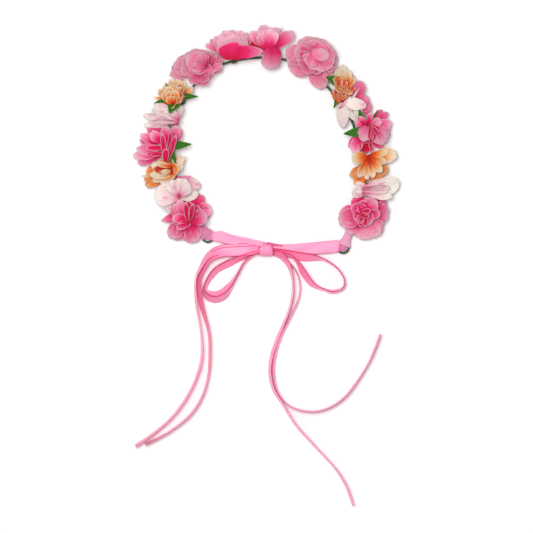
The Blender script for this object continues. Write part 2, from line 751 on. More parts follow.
# The wire's middle line, as part.scad draws it from the left eyelet to the right.
RING_ROUTE = [
    (-64, -80, EYELET_Z), (-72, -69, EYELET_Z), (-82, -52, 8), (-90, -30, 11),
    (-94, 0, 11), (-89, 35, 11), (-73, 64, 11), (-45, 85, 11), (-5, 92, 11),
    (30, 86, 11), (59, 64, 11), (72, 48, 11), (85, 28, 11), (92, 0, 11),
    (95, -30, 11), (92, -57, 9), (84, -78, EYELET_Z), (79, -90, EYELET_Z),
]
NECK_LEFT, NECK_RIGHT = np.array(RING_ROUTE[0]), np.array(RING_ROUTE[-1])
RING = curve(RING_ROUTE, 12)
TUBE_COLS = 14
PLAIN_TINT = (0.5, 0.0, 0.5)
# Radius of the taped wire, and the height of the step where the tape overlaps.
TAPE_R, TAPE_STEP = 1.12, 0.22
# Half width and half height of a neck wrap, by distance from the eyelet.
NECK_SHAPE = [(3, 6.6, 1.7), (6, 5.2, 1.8), (9, 4.1, 1.9), (15, 3.6, 1.8)]
NECK_MOUTH = (6.9, 1.6)
NECK_PITCH, NECK_RIDGE, NECK_SWELL = 3.4, 0.06, 0.08


def wound(run, pitch, angle):
    """How far into its turn a wound tape is at each place, from 0 to 1."""
    return (run[:, None] / pitch + angle[None, :] / (2 * np.pi)) % 1.0


def tube(patches, path, radii, bumps=0.0, pitch=6.0):
    """A round tube, with the slanted overlaps of a wound tape if bumps is given."""
    t = tangents(path)
    side = np.cross([0, 0, 1.0], t)
    side = side / np.maximum(np.linalg.norm(side, axis=1), 1e-6)[:, None]
    up = np.cross(t, side)
    angle = spaced_angles(TUBE_COLS)
    run = run_along(path)
    radius = radii[:, None] + bumps * wound(run, pitch, angle)
    points = path[:, None, :] + radius[..., None] * (
        np.cos(angle)[None, :, None] * side[:, None, :]
        + np.sin(angle)[None, :, None] * up[:, None, :]
    )
    uv = stack(angle[None, :] * 2, run[:, None])
    patches.grid(points, uv, PLAIN_TINT, closed=True)


def tape():
    patches = Patches()
    fine = curve(RING[::3], 6)
    tube(patches, fine, np.full(len(fine), TAPE_R), bumps=TAPE_STEP, pitch=5.0)
    obj = patches.mesh_object("floral_tape_wound", TAPE)
    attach(obj, CROWN)
    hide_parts("floral_tape")


def neck_wrap(side, centre, neck, mouth, light):
    """Ribbon wound round the legs of the eyelet, flat at the mouth and round at the wire."""
    d = unit(neck - centre)
    across = np.cross([0, 0, 1.0], d)
    place, half_ws, half_hs = np.array([(mouth, *NECK_MOUTH), *NECK_SHAPE]).T
    s = np.linspace(mouth, place[-1], 40)[:, None]
    angle = spaced_angles(48)
    half_w, half_h = np.interp(s, place, half_ws), np.interp(s, place, half_hs)
    y, z = superellipse(angle[None, :], half_w, half_h, NECK_SQUARE)
    ridge = 1 + NECK_RIDGE * wound(s[:, 0], NECK_PITCH, angle)
    points = centre + s[..., None] * d + (y * ridge)[..., None] * across
    points[..., 2] += z * (ridge + NECK_SWELL)
    patches = Patches()
    uv = stack(angle[None, :] * 4, s)
    patches.grid(points, uv, (0.2, 0.0, light), closed=True)
    obj = patches.mesh_object(f"{side}_neck_ribbon", NECK, 0.35)
    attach(obj, CROWN)
    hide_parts(f"{side}_neck_wrap")


tape()
neck_wrap("left", EYELET_LEFT, NECK_LEFT, mouth=0.5, light=0.1)
neck_wrap("right", EYELET_RIGHT, NECK_RIGHT, mouth=2.2, light=0.8)
for node, material in (
    ("core_wire", STEEL),
    ("stem_bindings", TAPE),
    ("left_eyelet", TAPE),
    ("right_eyelet", TAPE),
):
    for material_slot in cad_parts[node].material_slots:
        material_slot.material = material

# ---- Petals ----

PETAL_T = 0.2
ROWS, COLS = 14, 13
# Depth of a petal's middle crease and of its crinkles, and how much of its width
# it loses at its tip.
CREASE, CRINKLE, TAPER = 0.5, 0.25, 0.16
# Petals stay this far above the table, and above the wire's middle line.
LOWEST, WIRE_CLEAR = 3.0, 2.2
# Turn and length of the darker petal below a broad one.
LOWER_TURN, LOWER_LENGTH = 17, 0.93
# The petals all round that fill what the placed ones leave open.
FILLERS, FILLER_SIZE, FILLER_RISE = 6, 14, 12
FILLER_FOOT, FILLER_DROP, JITTER = 2.0, 2.0, 0.08


def heading(azimuth, lift):
    """The direction azimuth degrees round from +X and lift degrees above the table."""
    az, el = math.radians(azimuth), math.radians(lift)
    return np.array([math.cos(el) * math.cos(az), math.cos(el) * math.sin(az), math.sin(el)])


def lift_clear(points):
    """Raise a petal's points off the table and over the taped wire."""
    z = points[..., 2]
    z = np.where(z > LOWEST, z, LOWEST * np.exp(np.minimum(z / LOWEST - 1, 0)))
    gap = np.linalg.norm(points[..., None, :2] - RING[:, :2], axis=-1)
    over = RING[np.argmin(gap, axis=-1), 2] + WIRE_CLEAR
    points[..., 2] = np.maximum(z, over * smooth(7, 2, gap.min(axis=-1)))


class Flower:
    """A flower's place, and the petals gathered for it.

    axis is the way it faces, and down and side span its own plane, in which a and b
    are its half sizes.
    """

    def __init__(self, name, base, azimuth, lift, a, b, cloth, seed):
        self.name, self.cloth = name, cloth
        self.base = np.array(base, float)
        self.axis, self.down = heading(azimuth, lift), heading(azimuth, lift - 90)
        self.side = np.cross(self.axis, self.down)
        self.a, self.b = a, b
        self.random = random.Random(seed)
        self.patches = {}

    def vary(self, amount):
        return self.random.uniform(-amount, amount)

    def gather(self, cloth):
        return self.patches.setdefault(cloth or self.cloth, Patches())

    def petal(
        self, foot, tip, width, normal, arch=0.0, cup=0.4, ruffle=0.6, waves=2.0,
        point=0.42, power=3.2, neck=0.5, full=0.62, roll=0.0, dye=(0.0, 1.0), side=0.0,
        rim=1.0, cloth=None,
    ):
        """One petal from foot to tip, facing normal, shaped and dyed as LOOKS says."""
        foot, tip = np.asarray(foot, float), np.asarray(tip, float)
        d = tip - foot
        n = np.asarray(normal, float)
        n = unit(n - d * (n @ d) / (d @ d))
        s = unit(np.cross(d, n))
        u = np.linspace(0, 1, ROWS)[:, None]
        v = np.linspace(-1, 1, COLS)[None, :]
        reach = 1 - point * np.abs(v) ** power
        reach = reach + 0.02 * ruffle * np.sin(7 * v + self.vary(3))
        along = u * reach
        opened = np.sin(np.pi / 2 * np.minimum(1, along / full)) ** 0.9
        half = width / 2 * (neck + (1 - neck) * opened)
        half = half * (1 - TAPER * smooth(0.7, 1.0, along))
        bend = max(abs(cup), 1e-3)
        x = half * np.sin(bend * v) / bend
        rise = half * (1 - np.cos(bend * v)) / bend * np.sign(cup)
        phase, phase2 = self.vary(3), self.vary(3)
        frill = along**2 * (0.35 + 0.65 * np.abs(v)) * np.sin(waves * np.pi * v + phase)
        crinkle = CRINKLE * np.sin(9 * along + 5 * v + phase2) * along
        rise = rise + ruffle * (frill + crinkle) + arch * 4 * along * (1 - along)
        rise = rise - CREASE * np.exp(-((v / 0.22) ** 2)) * np.sin(np.pi * along)
        turned = smooth(0.66, 1.0, along) ** 2 + 0.4 * smooth(0.7, 1, np.abs(v)) * along
        rise = rise - roll * turned
        points = foot + along[..., None] * d + x[..., None] * s + rise[..., None] * n
        lift_clear(points)
        offset = self.random.uniform(0, 90)
        uv = stack(x + offset, along * np.linalg.norm(d) + offset)
        spread = dye[0] + (dye[1] - dye[0]) * along**0.9 + side * v**2
        flank = smooth(0.9, 1.0, np.abs(v)) * smooth(0.2, 0.5, along)
        edge = np.maximum(smooth(0.86, 1.0, along / reach), flank)
        tint = stack(np.clip(spread, 0, 1), np.clip(edge * rim, 0, 1), self.random.random())
        self.gather(cloth).grid(points, uv, tint)

    def fillers(self):
        """Low petals all round the flower's axis."""
        for k in range(FILLERS):
            angle = math.radians(360 * k / FILLERS + self.vary(60 * JITTER))
            c, s = math.cos(angle), math.sin(angle)
            out = unit(c * self.a * self.down + s * self.b * self.side)
            reach = math.hypot(c * self.a, s * self.b) / self.a
            el = math.radians(FILLER_RISE + self.vary(60 * JITTER))
            size = FILLER_SIZE * (0.45 + 0.55 * reach) * (1 + self.vary(JITTER))
            root = self.base + FILLER_FOOT * out - FILLER_DROP * self.axis
            tip = root + size * (math.cos(el) * out + math.sin(el) * self.axis)
            normal = math.cos(el) * self.axis - math.sin(el) * out
            width = FILLER_SIZE * (1 + self.vary(JITTER))
            self.petal(root, tip, width, normal, cup=0.5, dye=(0.1, 0.7))

    def placed(self, foot, tip, width, look):
        """A petal that faces upwards, with a darker one below it if it is a broad one."""
        cloth = "pink" if look.startswith("pink_") else None
        look = look.removeprefix("pink_")
        shape = LOOKS[look]
        foot, tip = np.array(foot, float), np.array(tip, float)
        if look in BROAD:
            turn = math.radians(self.random.choice((-LOWER_TURN, LOWER_TURN)))
            d = LOWER_LENGTH * (tip - foot)
            c, s = math.cos(turn), math.sin(turn)
            lower = foot + (c * d[0] - s * d[1], s * d[0] + c * d[1], d[2] - 2.0)
            dark = dict(shape, dye=(0.8 * shape["dye"][0], 0.85 * shape["dye"][1]))
            root = foot - (0, 0, 1.2)
            self.petal(root, lower, 0.95 * width, (0, 0, 1), cloth=cloth, **dark)
        lean = (self.vary(0.2), self.vary(0.2), 1)
        self.petal(foot, tip, width, lean, cloth=cloth, **shape)

    def finish(self, slots):
        """One object for each cloth; the flower's own cloth stands for its CAD nodes."""
        nodes = (self.name + "_petals", self.name + "_heart")
        nodes = [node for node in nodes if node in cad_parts]
        for cloth, patches in self.patches.items():
            obj = patches.mesh_object(f"{self.name}_{cloth}_bloom", PETALS[cloth], PETAL_T)
            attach(obj, CROWN)
            if cloth == self.cloth:
                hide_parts(*nodes)


CLOTH_SLOTS = {
    "pink": "pink_petals", "rose": "pink_petals",
    "blush": "blush_petals", "peach": "peach_petals",
}

# How each kind of petal is shaped and dyed: cup turns its sides up, arch lifts
# its middle, roll turns its rim down, and ruffle and waves are the size and
# number of its frills. neck is its width at the foot, full how far along it is at
# its widest, and point and power draw its tip out. dye is the part of the dye
# ramp from its foot to its tip, side how much further its long edges are along
# the ramp, and rim how strongly its edge is coloured.
LOOKS = {
    "open": dict(cup=0.4, ruffle=0.9, arch=1.3, roll=0.2, dye=(0.08, 1.0), side=0.1),
    "wide": dict(cup=0.5, ruffle=1.5, waves=2.6, arch=2.0, roll=0.4, dye=(0.15, 1.0)),
    "back": dict(cup=0.3, ruffle=0.7, arch=1.0, roll=1.0, dye=(0.05, 0.75), rim=0.4),
    "point": dict(cup=0.5, ruffle=0.6, arch=1.0, point=0.75, power=1.5, dye=(0.1, 0.85)),
    "spike": dict(cup=0.9, ruffle=0.1, point=0.92, power=1.1, neck=0.7, dye=(0.6, 1.0)),
    "fold": dict(cup=1.1, ruffle=0.9, waves=3.0, arch=1.0, dye=(0.0, 0.8), side=0.35),
    "slit": dict(cup=1.3, ruffle=0.5, waves=3.0, neck=0.45, point=0.5, dye=(-0.1, 0.4), side=0.95),
    "deep": dict(cup=0.4, ruffle=0.6, dye=(-0.15, 0.2), rim=0.3),
    "frill": dict(cup=0.6, ruffle=1.5, waves=3.4, point=0.2, dye=(-0.2, 0.85), side=0.2),
    "mid": dict(cup=0.8, ruffle=1.2, waves=3.0, point=0.25, dye=(0.0, 0.65), side=0.25),
    "boat": dict(
        cup=-0.35, ruffle=0.5, arch=2.5, neck=0.42, full=0.5, point=0.46, power=2.0,
        dye=(0.08, 0.5), rim=1.2
    ),
    "boat_fold": dict(
        cup=-0.3, ruffle=0.3, arch=0.8, neck=0.5, full=0.6, point=0.5, power=2.0,
        dye=(0.12, 0.5), rim=0.9
    ),
    "rim": dict(
        cup=-0.3, ruffle=0.5, arch=2.0, neck=0.3, full=0.5, point=0.46, power=2.0,
        dye=(0.7, 1.1)
    ),
    "fanned": dict(
        cup=0.5, ruffle=1.0, waves=2.6, arch=1.5, neck=0.18, full=0.8, point=0.35,
        dye=(-0.06, 1.0), side=0.1
    ),
    "blown": dict(
        cup=0.3, ruffle=1.6, waves=2.2, arch=2.2, neck=0.25, full=0.75, point=0.3,
        dye=(-0.05, 1.2), side=0.15
    ),
    "strap": dict(cup=-0.4, arch=1.5, neck=0.85, point=0.7, power=1.6, dye=(0.15, 0.95)),
    "lower": dict(
        cup=-0.4, ruffle=0.5, arch=1.5, neck=0.5, full=0.4, point=0.2, power=3.0,
        dye=(0.2, 1.0), side=0.1
    ),
    "stripe": dict(
        cup=0.9, ruffle=0.7, neck=0.35, full=0.6, point=0.4, dye=(0.1, 0.75), side=-0.25
    ),
    "white": dict(cup=0.5, ruffle=0.8, arch=1.6, neck=0.35, dye=(0.75, 1.1)),
    "white_point": dict(
        cup=0.6, ruffle=0.5, arch=1.6, neck=0.35, point=0.6, power=2.2, full=0.5, dye=(1.1, 0.5)
    ),
    "mauve": dict(cup=0.5, ruffle=0.6, arch=1.5, neck=0.35, dye=(0.45, 0.85), rim=0.4),
    "rosy": dict(
        cup=0.4, ruffle=0.7, arch=1.5, neck=0.6, point=0.5, power=2.2, dye=(-0.5, 0.8), rim=0.2
    ),
    "dome": dict(cup=-0.7, ruffle=0.4, arch=1.5, roll=1.0, dye=(0.55, 1.0)),
    "tan": dict(cup=0.4, ruffle=0.9, arch=1.0, dye=(0.3, 0.62), rim=0.7),
    "pale": dict(cup=0.4, ruffle=0.9, arch=1.2, roll=0.5, dye=(0.55, 1.05)),
}

# Flowers whose petals are all placed, and the looks that have a darker petal below.
FANS = (
    "blush_left_high", "blush_left_low", "lily_left", "lily_right", "peony_top_left",
    "peony_top_right", "azalea_right_high", "peach_right", "blush_right",
)
BROAD = ("open", "wide", "back", "pale", "tan")

# Petals of each flower, from the lowest layer to the top: the foot, the tip and
# the width in millimetres, and the look, with pink_ before it for pink cloth.
PETAL_ROWS = {
    "azalea_left": [
        (-76, -57, 12, -63, -46, 8, 13, "back"), (-72, -62, 12, -55, -59.5, 9, 16, "open"),
        (-84, -66, 12, -106, -70.5, 6, 14, "point"), (-82, -72, 12, -98, -87, 7, 17, "open"),
        (-80, -72, 12, -86, -88, 8, 15, "open"), (-78, -72, 13, -71.5, -92.5, 7, 19, "open"),
        (-83, -66, 15, -93, -52, 14, 15, "open"), (-77, -70, 16, -59, -66.5, 15, 17, "open"),
        (-80, -69, 16, -88.5, -50, 19, 11, "open"), (-79, -70, 18, -94, -68, 20, 13, "fold"),
        (-79, -71, 18, -90, -79, 19, 10, "fold"), (-78, -66, 17, -77, -52, 17, 14, "deep"),
        (-78.5, -72, 18, -81, -53, 26, 8, "slit"), (-77, -71, 18, -73.5, -54, 26, 8, "slit"),
    ],
    "blush_left_low": [
        (-92, -32, 11, -66, -36.5, 9, 17, "rosy"), (-90, -46, 12, -68.5, -44, 11, 14, "pale"),
        (-92, -38, 13, -106, -27.5, 13, 14, "fanned"), (-88, -47, 13, -101, -60.5, 11, 16, "fanned"),
        (-86, -46, 16, -112, -45, 12, 25, "fanned"), (-87, -47, 17, -84, -28.5, 19, 21, "fanned"),
        (-87, -46, 18, -97.5, -31.5, 18, 15, "fanned"), (-86, -47, 19, -76.5, -36, 20, 10, "fanned"),
    ],
    "peach_left_low": [
        (-117, -27, 8, -127, -25.5, 6, 3.5, "spike"), (-104, -24, 11, -121, -36.5, 6, 12, "tan"),
        (-103, -24, 10, -113, -36, 7, 11, "tan"), (-108, -22, 11, -121, -22, 8, 9, "tan"),
        (-96, -24, 13, -84, -14.5, 13, 9, "pale"), (-96, -21, 13, -81.5, -7, 12, 7, "pale"),
        (-97, -24, 11, -92.5, -29, 10, 5, "mid"), (-95, -18.5, 16, -115.5, -15.5, 16, 12, "pale"),
        (-94, -25, 16, -117, -25, 14, 9, "pale"), (-94, -20, 19, -113, -19.5, 18, 9, "deep"),
        (-94, -22, 19, -108, -22, 20, 6, "deep"), (-95, -17, 20, -109, -15, 21, 5, "fold"),
        (-96, -21.5, 21, -106, -22.5, 22, 5, "pale"),
    ],
    "lily_left": [
        (-103, 10, 11, -119, 22, 9, 12, "back"), (-103, 12, 12, -110, 23, 10, 12, "back"),
        (-110, 6, 11, -126.5, 15, 9, 10, "open"), (-95, 8, 13, -89.5, 24, 12, 12, "open"),
        (-100, 6, 15, -101.5, 24, 14, 12, "fanned"), (-104, -1, 12, -133.5, -6.5, 7, 13, "open"),
        (-104, 2, 15, -130, 0, 10, 13, "fanned"), (-104, 6, 15, -115.5, 18, 14, 12, "fanned"),
        (-100, -9, 14, -98, 15, 15, 16, "deep"), (-103, 2, 17, -121, 1.5, 15, 8, "slit"),
        (-103, -4, 17, -121, -4.5, 14, 7, "slit"), (-98.5, -5, 18, -95.5, 19, 18, 6, "slit"),
        (-101.5, -10.5, 18, -104.5, 16.5, 20, 8, "slit"), (-99.5, -10.5, 18, -90.5, 14.5, 20, 8, "slit"),
        (-101, -11.5, 20, -100.5, 1, 22, 10, "slit"),
    ],
    "blush_left_high": [
        (-88.5, 30, 12, -88, 45.5, 11, 11, "fanned"), (-89, 28, 12, -115, 40, 9, 10, "fanned"),
        (-88, 29, 14, -112.5, 46, 11, 12, "fanned"), (-87.5, 27, 14, -123, 24.5, 8, 9, "stripe"),
        (-88, 29, 15, -101.5, 42.5, 15, 13, "fanned"), (-88, 28, 15, -123.5, 34.5, 9, 9, "fanned"),
        (-87.5, 27.5, 16, -118, 28, 13, 6, "stripe"), (-88, 28, 17, -112, 38, 15, 6, "stripe"),
        (-98, 27, 17, -82.5, 28, 14, 2.5, "spike"),
    ],
    "carnation_left": [
        (-93, 50, 11, -101, 66, 9, 11, "frill"), (-92, 50, 11, -95.5, 70, 9, 11, "frill"),
        (-91, 50, 11, -89, 71, 9, 11, "frill"), (-90, 50, 11, -84, 69, 9, 11, "frill"),
        (-90, 49, 12, -74, 62.5, 10, 8, "frill"), (-90, 49, 12, -73, 57.5, 10, 6, "point"),
        (-90, 48, 13, -77.5, 53.5, 12, 5, "point"), (-96, 49, 12, -108, 60, 10, 9, "frill"),
        (-97, 48, 12, -114, 53, 9, 6, "point"), (-97, 48, 12, -109, 49.5, 9, 6, "point"),
        (-96, 47, 13, -107, 46.5, 11, 4, "point"), (-94, 48, 16, -99, 63, 17, 10, "frill"),
        (-93, 48, 16, -92.5, 65, 17, 11, "frill"), (-91, 48, 16, -86, 62.5, 17, 10, "frill"),
        (-95, 47, 19, -104, 57, 19, 10, "frill"), (-94, 47, 20, -98, 58.5, 23, 10, "frill"),
        (-93, 47, 20, -91.5, 59, 23, 10, "frill"), (-91, 46, 18, -83.5, 57, 19, 9, "deep"),
        (-94, 46, 22, -99, 52.5, 24, 9, "mid"), (-93, 46, 22, -93, 53, 25, 9, "mid"),
        (-91, 46, 20, -86, 52, 22, 8, "mid"),
    ],
    "rose_left": [
        (-68, 82, 12, -77, 99, 9, 27, "open"), (-64, 84, 12, -62, 99.5, 9, 22, "open"),
        (-60, 83, 12, -50, 95.5, 10, 17, "open"), (-58, 82, 12, -44.5, 90.5, 11, 10, "mid"),
        (-58, 80, 13, -44.5, 84.5, 12, 9, "open"), (-72, 82, 11, -93.5, 84, 8, 20, "open"),
        (-74, 79, 10, -97, 75, 7, 13, "open"), (-68, 78, 9, -67, 64.5, 7, 22, "back"),
        (-60, 80, 12, -53, 75, 11, 20, "open"), (-68, 80, 12, -75, 69.5, 10, 34, "wide"),
        (-68, 83, 14, -84, 92, 14, 20, "open"), (-66, 84, 15, -73, 97, 15, 19, "open"),
        (-68, 82, 15, -87, 79, 13, 16, "open"), (-64, 83, 15, -64, 74.5, 16, 30, "wide"),
        (-60, 83, 16, -60.5, 97.5, 18, 8, "slit"), (-58, 83, 16, -55.5, 96, 17, 8, "slit"),
        (-56, 83, 15, -50.5, 93.5, 15, 7, "slit"), (-64, 78, 11, -62, 67.5, 9, 18, "open"),
        (-63, 85, 17, -81, 91, 19, 18, "wide"), (-62, 83, 19, -76, 81, 20, 12, "wide"),
        (-62, 85, 20, -69, 95, 21, 14, "wide"), (-60, 84, 21, -73, 86.5, 23, 10, "fold"),
    ],
    "peony_top_left": [
        (-40, 97, 12, -61.5, 105, 10, 8, "open"), (-34, 95, 11, -53, 112, 10, 15, "fanned"),
        (-33, 96, 12, -44, 118, 11, 19, "blown"), (-32, 96, 12, -36, 119.5, 11, 13, "fanned"),
        (-31, 96, 12, -27, 118.5, 11, 19, "blown"), (-29, 96, 12, -17.5, 116, 11, 13, "fanned"),
        (-33, 95, 15, -48, 111.5, 15, 16, "blown"), (-32, 96, 16, -36, 115, 16, 17, "blown"),
        (-30, 96, 16, -24, 113.5, 16, 15, "blown"), (-1, 98, 13, -22, 109.5, 11, 14, "deep"),
        (-28, 97.0, 26, -2.6, 98.0, 17.5, 15, "strap"), (-33, 91, 18, -32.5, 110.2, 21, 37, "rim"),
        (-33.5, 89.2, 21, -33.5, 108.8, 23, 34, "boat"), (-31, 91, 23, -24, 105, 23, 14, "boat_fold"),
    ],
    "peony_top_right": [
        (6, 108, 12, 8.5, 124, 10, 4, "spike"), (9, 106, 12, 16, 124.5, 10, 4, "spike"),
        (0, 100, 12, -4.5, 124.5, 10, 15, "fanned"), (-1, 100, 13, -16, 118, 11, 12, "fanned"),
        (2, 101, 13, 11, 121.5, 11, 13, "fanned"), (4, 101, 14, 26.5, 117, 12, 15, "fanned"),
        (-1, 100, 15, -9.5, 114.5, 15, 10, "fanned"), (3, 99.5, 15, 9, 120, 14, 12, "fanned"),
        (-1, 98.5, 16, -5, 120, 16, 13, "blown"), (1, 98.5, 17, 3, 121.5, 17, 18, "blown"),
        (7, 102.5, 20, 2.5, 79.8, 16, 20, "lower"),
    ],
    "rose_right": [
        (46, 92, 11, 35, 111.5, 8, 25, "open"), (49, 94, 11, 53, 111.5, 8, 26, "open"),
        (42, 92, 11, 18.5, 98, 8, 22, "open"), (43, 88, 11, 21.5, 82, 8, 22, "open"),
        (46, 86, 10, 56, 61, 7, 20, "open"), (54, 90, 10, 70.5, 88, 8, 26, "open"),
        (54, 86, 9, 67, 77, 8, 20, "open"), (48, 87, 10, 42, 75, 9, 24, "back"),
        (46, 93, 14, 28, 102, 14, 22, "open"), (49, 95, 14, 42, 109, 14, 20, "open"),
        (53, 95, 14, 62, 106, 13, 20, "open"), (49, 92, 15, 30, 88, 15, 20, "open"),
        (52, 94, 16, 49, 78.5, 19, 32, "wide"), (54, 94, 16, 67, 87, 18, 22, "wide"),
        (50, 97, 17, 56, 105, 17, 18, "mid"), (45, 95, 18, 32, 103, 19, 9, "slit"),
        (46, 93, 18, 31, 96, 20, 9, "slit"), (48, 92, 19, 40, 86, 21, 16, "wide"),
        (44, 97, 21, 62, 92.5, 22, 15, "dome"), (46, 94, 21, 58, 98, 23, 12, "dome"),
    ],
    "carnation_right": [
        (75, 66, 11, 70, 82, 8, 10, "pale"), (76, 66, 11, 75.5, 85, 8, 10, "pale"),
        (77, 66, 11, 82.5, 79.5, 8, 10, "pale"), (77, 64, 13, 83, 75.5, 12, 9, "frill"),
        (77, 63, 13, 87.5, 71.5, 12, 10, "frill"), (74, 60, 13, 71, 75, 13, 8, "frill"),
        (74, 62, 13, 77, 77, 14, 8, "frill"), (73, 46, 12, 70, 62, 14, 9, "tan"),
        (75, 47, 13, 75, 69, 16, 17, "deep"), (77, 52, 14, 85, 64, 15, 11, "deep"),
        (72, 46, 15, 69.5, 58, 16, 3.5, "slit"), (73, 48, 16, 70, 67, 18, 4, "slit"),
        (74, 50, 17, 75, 69, 19, 4, "slit"), (75, 52, 17, 80, 68, 18, 4, "slit"),
        (76, 53, 17, 85, 65, 18, 4, "slit"), (76, 51, 17, 84, 57, 18, 4, "slit"),
        (73, 51, 18, 72.5, 62, 20, 4, "slit"), (74, 53, 19, 77, 64, 20, 4, "slit"),
        (75, 53, 19, 81, 60, 20, 4, "slit"), (74, 50, 18, 79, 54, 19, 4, "slit"),
    ],
    "lily_right": [
        (90, 52, 11, 93, 69, 8, 14, "pink_mauve"), (91, 46, 11, 101, 52.5, 9, 12, "pink_mauve"),
        (92, 44, 10, 104.5, 42, 8, 13, "pink_mauve"), (96, 42, 10, 101.5, 33, 8, 6, "pink_mauve"),
        (80, 48, 13, 92, 29.5, 10, 17, "white"), (76, 47, 14, 75.5, 21.5, 9, 15, "white_point"),
        (79, 47, 16, 99.5, 43.5, 14, 14, "white_point"), (80, 50, 15, 88, 62, 14, 3.5, "spike"),
        (83, 48, 15, 93, 62.5, 14, 3.5, "spike"), (72, 41, 15, 84, 53, 17, 4, "stripe"),
    ],
    "azalea_right_high": [
        (104, 12, 11, 115.5, 2, 8, 9, "back"), (96, 15, 11, 85.5, -2.5, 8, 13, "open"),
        (100, 12, 12, 97, -3, 8, 13, "deep"), (102, 12, 12, 105, -3, 9, 5, "slit"),
        (104, 22, 11, 120.5, 37.5, 9, 9, "back"), (105, 22, 12, 124.5, 27, 9, 12, "open"),
        (106, 20, 12, 123, 15.5, 8, 12, "open"), (101, 25, 12, 103.5, 37.5, 12, 7, "fanned"),
        (104, 24, 14, 114, 30.5, 13, 10, "pale"), (101, 24, 13, 101, 6, 14, 17, "deep"),
        (99, 24, 14, 89, 32, 14, 11, "open"), (98, 23, 15, 92, 28, 15, 6, "deep"),
        (105, 21, 15, 118, 6.5, 13, 16, "pale"), (106, 21, 16, 122, 14, 14, 9, "open"),
        (101, 23, 17, 95, 8.5, 17, 13, "pale"), (103, 26, 19, 101.5, 9, 20, 5, "slit"),
        (105, 24, 18, 112, 13, 19, 5, "slit"), (104, 25, 18, 114, 20, 18, 4, "slit"),
    ],
    "peach_right": [
        (108, -4, 12, 124, 5.5, 10, 3, "spike"), (98, -18, 10, 83, -27, 8, 12, "tan"),
        (98, -18, 10, 88, -35, 7, 12, "tan"), (106, -16, 10, 121, -22, 8, 13, "tan"),
        (104, -20, 10, 114, -29.5, 8, 14, "tan"), (102, -6, 12, 130, -5.5, 9, 16, "fanned"),
        (101, -6, 13, 121, -1, 12, 9, "fanned"), (102, -8, 13, 84.5, -8, 12, 15, "fanned"),
        (101, -8, 14, 119.5, -12.5, 13, 9, "fanned"), (101, -8, 15, 91, -27.5, 13, 10, "fanned"),
        (101, -8, 15, 99.5, -30, 13, 8, "fanned"), (102, -8, 16, 106, -28, 14, 9, "fanned"),
        (101.5, -8, 17, 114.5, -22.5, 15, 10, "fanned"), (101, -8, 18, 104, -17, 18, 4, "deep"),
    ],
    "blush_right": [
        (108, -36, 11, 132.5, -33.5, 8, 20, "white"), (100, -37, 11, 85.5, -46, 9, 12, "fanned"),
        (101, -37, 12, 87.5, -37.5, 10, 13, "fanned"), (100, -44, 11, 112, -52, 9, 12, "back"),
        (96, -38, 13, 118, -30, 12, 8, "stripe"), (95, -40, 14, 123, -38, 13, 9, "stripe"),
        (95, -42.5, 14, 125, -46.5, 12, 12, "fanned"), (95.5, -41.5, 16, 121, -42, 15, 6, "stripe"),
    ],
    "azalea_right_low": [
        (94, -56, 11, 86, -47.5, 8, 13, "back"), (104, -58, 11, 119, -51, 8, 14, "back"),
        (106, -63, 12, 121.5, -65, 8, 22, "open"), (97, -70, 12, 98, -90, 7, 21, "pale"),
        (93, -70, 12, 79.5, -83, 8, 14, "open"), (102, -69, 13, 110, -87, 9, 17, "pale"),
        (96, -64, 15, 71.5, -72, 10, 21, "open"), (98, -61, 15, 109, -50, 14, 16, "open"),
        (98, -63, 16, 92, -56, 16, 11, "mid"), (100, -65, 16, 113, -63, 17, 13, "fold"),
        (98, -66, 16, 104, -74, 18, 14, "open"), (97, -66, 17, 90, -73, 19, 11, "fold"),
        (96, -63, 18, 103, -60, 22, 9, "slit"), (94, -65, 18, 102, -67, 22, 8, "slit"),
        (95, -67, 18, 93, -77, 21, 7, "slit"), (98, -67, 18, 98, -77, 21, 7, "slit"),
    ],
}

# Each flower as part.scad places it: name, base point, azimuth and lift of
# its axis, half size across and along the ring, and its cloth.
FLOWERS = [
    ("azalea_left", (-80, -65, 15), 208, 80, 25, 16, "pink"),
    ("blush_left_low", (-95, -40, 15), 187, 70, 21, 11, "blush"),
    ("peach_left_low", (-101, -20, 14), 182, 60, 20, 9.5, "peach"),
    ("lily_left", (-102, 4, 15.9), 176, 8, 19, 13.5, "pink"),
    ("blush_left_high", (-101, 28, 15), 166, 45, 19, 9, "blush"),
    ("carnation_left", (-92, 54, 14), 146, 35, 20, 15.5, "peach"),
    ("rose_left", (-68, 79, 15), 125, 62, 25, 19, "rose"),
    ("peony_top_left", (-33, 96, 16.4), 98, 6, 19, 22.5, "pink"),
    ("peony_top_right", (9, 96, 16.4), 87, 6, 19, 19.5, "pink"),
    ("rose_right", (45, 88, 15), 62, 66, 25, 19.5, "rose"),
    ("carnation_right", (77, 66, 14), 44, 45, 17, 11.5, "peach"),
    ("lily_right", (89, 46, 15), 30, 55, 20, 10, "blush"),
    ("azalea_right_high", (101, 19, 15.9), 10, 8, 19, 15, "pink"),
    ("peach_right", (103, -14, 15.5), 0, 72, 24, 15, "peach"),
    ("blush_right", (104, -38, 14), -8, 60, 21, 9, "blush"),
    ("azalea_right_low", (98, -63, 15), -28, 80, 25, 16, "pink"),
]
